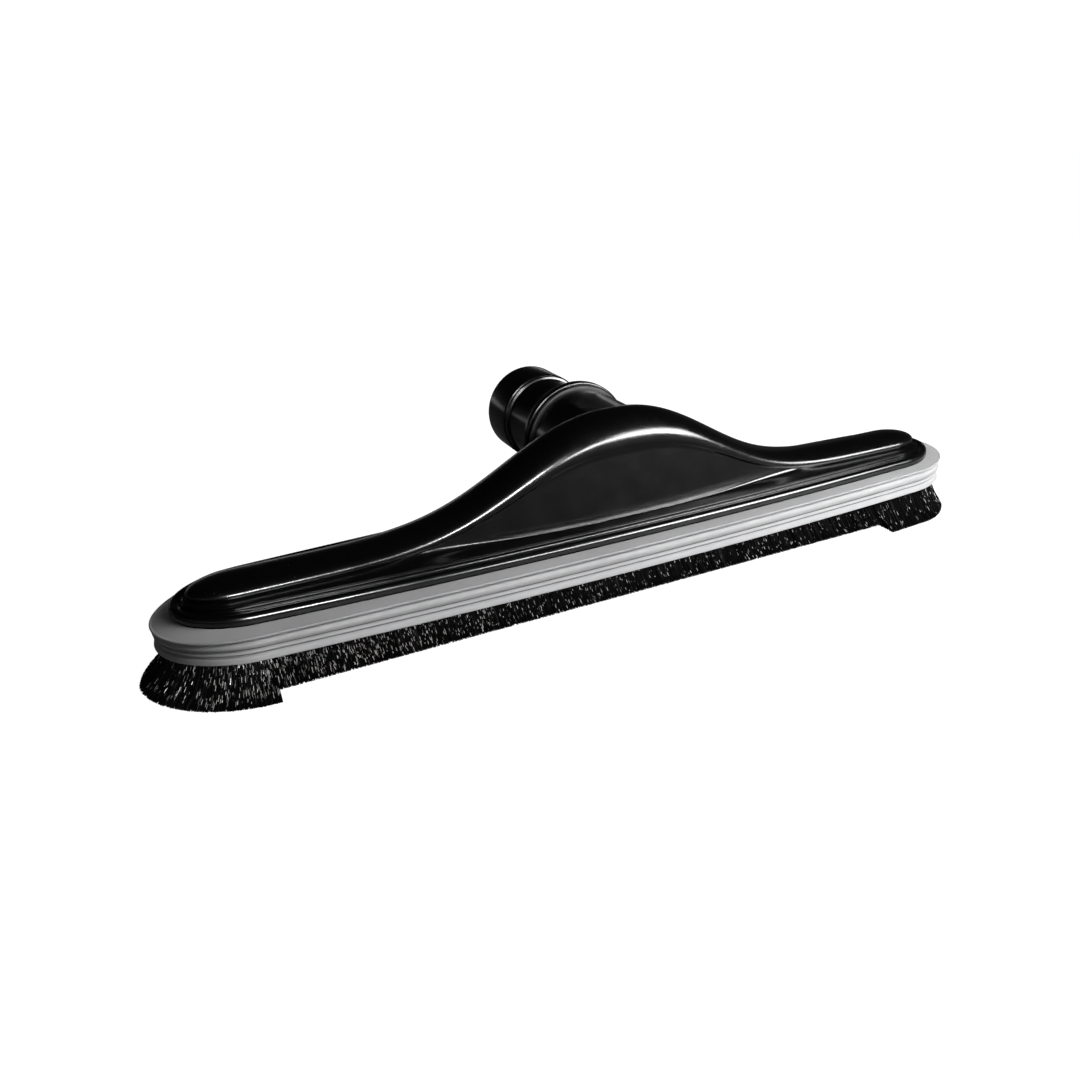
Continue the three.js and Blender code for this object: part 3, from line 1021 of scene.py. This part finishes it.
WAND_BORE = 16.0
SPIGOT_RADIUS = 18.0
NECK_RADIUS = 18.7
JOURNAL_RADIUS = 18.5
SNAP_GROOVE = 17.3
FLANGE_THICKNESS = 3.6
flange_radius = (neck_high[0] - neck_low[0]) / 2
cuff_radius = (cuff_high[0] - cuff_low[0]) / 2
cuff_start = cuff_low[1] - mid_y
cuff_end = cuff_high[1] - mid_y
neck_start = neck_low[1] - mid_y
neck_end = neck_high[1] - mid_y
seal_start = seal_low[1] - mid_y
seal_end = seal_high[1] - mid_y
seal_radius = (seal_high[0] - seal_low[0]) / 2
flange_start = seal_end + GAP
flange_end = flange_start + FLANGE_THICKNESS
shoulder = cuff_start - GAP

swivel_neck = turned(
    "neck_tube",
    [
        (WAND_BORE, neck_start, 0.4),
        (JOURNAL_RADIUS, neck_start, 0.8),
        (JOURNAL_RADIUS, 15.7, 0.1),
        (SNAP_GROOVE, 15.7, 0.1),
        (SNAP_GROOVE, 18.0, 0.1),
        (JOURNAL_RADIUS, 18.0, 0.1),
        (JOURNAL_RADIUS, flange_start, 0.15),
        (flange_radius, flange_start, 0.7),
        (flange_radius, flange_end, 1.1),
        (21.4, flange_end, 0.3),
        (NECK_RADIUS + 1.1, flange_end + 0.6, 0.5),
        (NECK_RADIUS, flange_end + 2.2, 0.9),
        (NECK_RADIUS, shoulder - 1.9, 0.25),
        (NECK_RADIUS + 1.1, shoulder - 1.6, 0.3),
        (NECK_RADIUS + 1.1, shoulder, 0.3),
        (SPIGOT_RADIUS, shoulder, 0.1),
        (SPIGOT_RADIUS, neck_end, 0.5),
        (WAND_BORE, neck_end, 0.4),
    ],
)
finish_piece(swivel_neck, "neck", ["swivel_neck"], gloss_black)

wand_cuff = turned(
    "cuff_ring",
    [
        (SPIGOT_RADIUS + GAP, cuff_start, 0.2),
        (cuff_radius, cuff_start, 1.5),
        (cuff_radius, cuff_end, 1.3),
        (WAND_BORE, cuff_end, 0.9),
        (WAND_BORE, neck_end + GAP, 0.1),
        (SPIGOT_RADIUS + GAP, neck_end + GAP, 0.1),
    ],
    steps=7,
)
finish_piece(wand_cuff, "neck", ["wand_cuff"], gloss_black)

neck_seal = turned(
    "seal_ring",
    [
        (SOCKET_BORE + 0.4, seal_start, 0.2),
        (seal_radius - 0.35, seal_start, 0.4),
        (seal_radius, (seal_start + seal_end) / 2, 0.5),
        (seal_radius - 0.35, seal_end, 0.4),
        (SOCKET_BORE + 0.4, seal_end, 0.2),
    ],
)
finish_piece(neck_seal, "head", ["neck_seal"], seal_rubber)


# ---- Sole ---------------------------------------------------------------------------------

SLOT_STRAIGHT = 117.0
SLOT_RADIUS = 8.0
SLOT_LIP = 2.2
SLOT_STEPS = 28
RIB_SPACING = 25
RIB_SPAN = 100
RIB_END = 20.5
POST_SEGMENTS = 40
SCREW_ROW = ((-140, 11), (-50, 16.5), (50, 16.5), (140, 11))
SCREW_PLACES = [(x, y * side) for x, y in SCREW_ROW for side in (-1, 1)]
SCREW_HEAD = 3.1
SCREW_HEAD_HEIGHT = 1.8
SCREW_SHANK = 1.5
SCREW_HOLE = 1.8
SCREW_TURN = 0.7
RECESS_HALF = 0.26


def slot_loop(radius, z):
    """A long slot outline of half-width radius at height z."""
    angles = np.linspace(-math.pi / 2, math.pi / 2, SLOT_STEPS)
    end_x = SLOT_STRAIGHT + radius * np.cos(angles)
    end_y = radius * np.sin(angles)
    xs = np.concatenate([end_x, -end_x])
    ys = np.concatenate([end_y, -end_y])
    return np.column_stack([xs, ys, np.full(len(xs), z)])


def post_loops(x, y, levels):
    """Upright round loops at (x, y) from (radius, z) levels."""
    angles = np.linspace(0, 2 * math.pi, POST_SEGMENTS, endpoint=False)
    return [
        np.column_stack([x + r * np.cos(angles), y + r * np.sin(angles), np.full_like(angles, z)])
        for r, z in levels
    ]


def solid_stack(name, loops, smooth_angle=HEAD_SHARP):
    """A solid through the loops, closed by a flat face at each end."""
    points, faces = loops_mesh(loops, cap_first=True, cap_last=True)
    return fix_normals(mesh_object(name, points, faces, smooth_angle))


def make_sole():
    """The plate under the head, with ribs, screw holes and a lip round its slot."""
    low, high = sole_low[2], sole_high[2]
    plate = solid_stack(
        "sole_cover",
        outline_stack(
            [
                (BRUSH_INSET + 0.5, low),
                (BRUSH_INSET + 0.15, low + 0.15),
                (BRUSH_INSET, low + 0.5),
                (BRUSH_INSET, high),
            ]
        ),
    )
    lip = SLOT_RADIUS + SLOT_LIP
    lip_levels = [
        (lip + 0.3, high - 0.5),
        (lip, low - 0.1),
        (lip - 0.2, low - 0.8),
        (lip - 0.7, low - 1.1),
    ]
    cut(plate, solid_stack("lip", [slot_loop(r, z) for r, z in lip_levels]), "UNION")
    rib_levels = [
        (0.9, RIB_END, low + 1),
        (0.75, RIB_END, low - 0.4),
        (0.45, RIB_END - 0.5, low - 0.7),
    ]
    for x in np.arange(-RIB_SPAN, RIB_SPAN + 1, RIB_SPACING):
        for side in (-1, 1):
            near = side * (SLOT_RADIUS + 1)
            rib = [
                [[x - w, near, z], [x + w, near, z], [x + w, side * far, z], [x - w, side * far, z]]
                for w, far, z in rib_levels
            ]
            cut(plate, solid_stack("rib", rib), "UNION")
    slot_levels = [
        (SLOT_RADIUS + 0.5, low - 2),
        (SLOT_RADIUS + 0.45, low - 1.05),
        (SLOT_RADIUS, low - 0.5),
        (SLOT_RADIUS, high + 1),
    ]
    cut(plate, solid_stack("slot", [slot_loop(r, z) for r, z in slot_levels]), "DIFFERENCE")
    for x, y in SCREW_PLACES:
        hole = post_loops(x, y, [(SCREW_HOLE, low - 2), (SCREW_HOLE, high + 1)])
        cut(plate, solid_stack("hole", hole), "DIFFERENCE")
    shade(plate.data, HEAD_SHARP)
    finish_piece(plate, "head", ["sole_plate"], matte_black)


def make_screw(number, x, y):
    """A pan-head screw with a cross recess, seen from below."""
    seat = sole_low[2] - GAP
    face = seat - SCREW_HEAD_HEIGHT
    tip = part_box(f"sole_screw_{number}")[1][2] / MM
    levels = [
        (1.4, face),
        (2.2, face + 0.12),
        (2.75, face + 0.42),
        (SCREW_HEAD, face + 0.95),
        (SCREW_HEAD, seat - 0.1),
        (SCREW_HEAD - 0.15, seat),
        (SCREW_SHANK, seat + 0.01),
        (SCREW_SHANK, tip - 0.8),
        (0.6, tip),
    ]
    screw = solid_stack(f"cross_screw_{number}", post_loops(x, y, levels), SCREW_SHARP)
    turn = SCREW_TURN * number
    for quarter in (0, math.pi / 2):
        c, s = math.cos(turn + quarter), math.sin(turn + quarter)
        bar = [
            [
                [x + c * a * w - s * b * RECESS_HALF, y + s * a * w + c * b * RECESS_HALF, z]
                for a, b in ((-1, -1), (1, -1), (1, 1), (-1, 1))
            ]
            for w, z in ((1.6, face - 0.5), (1.35, face + 0.3), (0.5, face + 1.1))
        ]
        cut(screw, solid_stack("bar", bar), "DIFFERENCE")
    shade(screw.data, SCREW_SHARP)
    finish_piece(screw, "head", [f"sole_screw_{number}"], zinc_steel)


make_sole()
for number, (x, y) in enumerate(SCREW_PLACES, 1):
    make_screw(number, x, y)

# These keep their CAD shapes
for node in (
    "front_brush_back",
    "rear_brush_back",
    "left_brush_back",
    "right_brush_back",
    "snap_ring",
):
    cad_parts[node].material_slots[0].material = zinc_steel


# ---- Camera -------------------------------------------------------------------------------

CAMERA_PLACE = Vector((-163.58, -284.78, 167.49))
CAMERA_AZIMUTH = math.radians(-27.06)
CAMERA_ELEVATION = math.radians(25.41)
CAMERA_ROLL = math.radians(-0.96)
CAMERA_LENS = 28.79
CAMERA_SHIFT = (-0.0339, -0.0020)


def make_camera():
    """The camera, in front of the head's left end and looking down at it."""
    a, e, r = CAMERA_AZIMUTH, CAMERA_ELEVATION, CAMERA_ROLL
    back = Vector((math.sin(a) * math.cos(e), -math.cos(a) * math.cos(e), math.sin(e)))
    right = Vector((math.cos(a), math.sin(a), 0))
    up = back.cross(right)
    rolled_right = right * math.cos(r) + up * math.sin(r)
    rolled_up = up * math.cos(r) - right * math.sin(r)
    turn = Matrix((rolled_right, rolled_up, back)).transposed().to_4x4()
    place = (CAMERA_PLACE + Vector((0, mid_y, 0))) * MM
    data = bpy.data.cameras.new("camera")
    data.lens = CAMERA_LENS
    data.shift_x, data.shift_y = CAMERA_SHIFT
    data.clip_start = 0.01
    data.clip_end = 20
    camera = bpy.data.objects.new("camera", data)
    camera.matrix_world = Matrix.Translation(place) @ turn
    bpy.context.scene.collection.objects.link(camera)
    bpy.context.scene.camera = camera


make_camera()


# ---- Studio -------------------------------------------------------------------------------


def aim_light(name, azimuth, elevation, distance, width, height, radiance):
    """A soft panel facing the object. Azimuth turns from the front (-Y) towards +X."""
    a, e = math.radians(azimuth), math.radians(elevation)
    out = Vector((math.sin(a) * math.cos(e), -math.cos(a) * math.cos(e), math.sin(e)))
    data = bpy.data.lights.new(name, "AREA")
    data.shape = "RECTANGLE"
    data.size = width
    data.size_y = height
    data.energy = radiance * math.pi * width * height
    light = bpy.data.objects.new(name, data)
    facing = out.to_track_quat("Z", "Y").to_matrix().to_4x4()
    light.matrix_world = Matrix.Translation(out * distance) @ facing
    light.visible_camera = False
    bpy.context.scene.collection.objects.link(light)
    return light


aim_light("key_panel", 43, 22, 0.57, 0.31, 0.13, 25)
aim_light("key_fill", 36, 48, 0.5, 0.3, 0.2, 6.5).visible_glossy = False
aim_light("front_strip", 28, 15, 0.9, 0.6, 0.1, 44).visible_diffuse = False
aim_light("left_strip", -12, 22, 1.0, 0.34, 0.12, 90).visible_diffuse = False
aim_light("rear_card", 180, 4, 1.0, 1.3, 0.08, 0.8)
aim_light("rear_fill", 170, 7, 1.0, 0.9, 0.16, 5).visible_glossy = False

FLOOR_SIZE = 6.0
FLOOR_SHADE = 0.22
FLOOR_GLOW = 1.3
BACKDROP_GLOW = 1.1
# The room's brightness as a mirror sees it, from the floor's level to straight up
ROOM_STOPS = [(0.0, 0.08), (0.02, 0.24), (0.16, 0.2), (0.3, 0.035), (1.0, 0.015)]
# Y from 0.1 behind to 0.5 in front scales that from 0.2 to 1
ROOM_FRONT = (0.1, -0.5, 0.2, 1.0)


def make_floor():
    """A pale floor that looks white and throws little light back up at the object."""
    size = FLOOR_SIZE
    corners = [(-size, -size, 0), (size, -size, 0), (size, size, 0), (-size, size, 0)]
    mesh = bpy.data.meshes.new("floor")
    mesh.from_pydata(corners, [], [(0, 1, 2, 3)])
    floor = bpy.data.objects.new("floor", mesh)
    bpy.context.scene.collection.objects.link(floor)
    material = bpy.data.materials.new("floor")
    material.use_nodes = True
    tree = material.node_tree
    tree.nodes.clear()
    output = tree.nodes.new("ShaderNodeOutputMaterial")
    seen = tree.nodes.new("ShaderNodeMixShader")
    path = tree.nodes.new("ShaderNodeLightPath")
    shown = tree.nodes.new("ShaderNodeMixShader")
    shown.inputs["Fac"].default_value = FLOOR_SHADE
    glow = tree.nodes.new("ShaderNodeEmission")
    glow.inputs["Color"].default_value = (1, 1, 1, 1)
    glow.inputs["Strength"].default_value = FLOOR_GLOW
    pale = tree.nodes.new("ShaderNodeBsdfDiffuse")
    pale.inputs["Color"].default_value = (0.85, 0.85, 0.85, 1)
    dim = tree.nodes.new("ShaderNodeBsdfDiffuse")
    dim.inputs["Color"].default_value = (0.16, 0.16, 0.16, 1)
    links = tree.links
    links.new(glow.outputs[0], shown.inputs[1])
    links.new(pale.outputs[0], shown.inputs[2])
    links.new(path.outputs["Is Camera Ray"], seen.inputs["Fac"])
    links.new(dim.outputs[0], seen.inputs[1])
    links.new(shown.outputs[0], seen.inputs[2])
    links.new(seen.outputs[0], output.inputs["Surface"])
    mesh.materials.append(material)


def make_world():
    """White behind the object, and a dim room with a paler horizon in its reflections."""
    world = bpy.data.worlds.new("studio")
    world.use_nodes = True
    bpy.context.scene.world = world
    tree = world.node_tree
    tree.nodes.clear()
    links = tree.links
    output = tree.nodes.new("ShaderNodeOutputWorld")
    mixed = tree.nodes.new("ShaderNodeMixShader")
    path = tree.nodes.new("ShaderNodeLightPath")
    white = tree.nodes.new("ShaderNodeBackground")
    white.inputs["Color"].default_value = (1, 1, 1, 1)
    white.inputs["Strength"].default_value = BACKDROP_GLOW
    room = tree.nodes.new("ShaderNodeBackground")
    place = tree.nodes.new("ShaderNodeTexCoord")
    parts = tree.nodes.new("ShaderNodeSeparateXYZ")
    ramp = tree.nodes.new("ShaderNodeValToRGB")
    while len(ramp.color_ramp.elements) < len(ROOM_STOPS):
        ramp.color_ramp.elements.new(0.5)
    for element, (position, value) in zip(ramp.color_ramp.elements, ROOM_STOPS):
        element.position = position
        element.color = (value, value, value, 1)
    links.new(place.outputs["Generated"], parts.inputs[0])
    links.new(parts.outputs["Z"], ramp.inputs["Fac"])
    links.new(ramp.outputs["Color"], room.inputs["Color"])
    ahead = tree.nodes.new("ShaderNodeMapRange")
    for socket, value in zip(RANGE_SOCKETS, ROOM_FRONT):
        ahead.inputs[socket].default_value = value
    links.new(parts.outputs["Y"], ahead.inputs["Value"])
    links.new(ahead.outputs["Result"], room.inputs["Strength"])
    links.new(path.outputs["Is Camera Ray"], mixed.inputs["Fac"])
    links.new(room.outputs[0], mixed.inputs[1])
    links.new(white.outputs[0], mixed.inputs[2])
    links.new(mixed.outputs[0], output.inputs["Surface"])


make_floor()
make_world()
bpy.context.scene.view_settings.view_transform = "Standard"

bpy.context.view_layer.update()
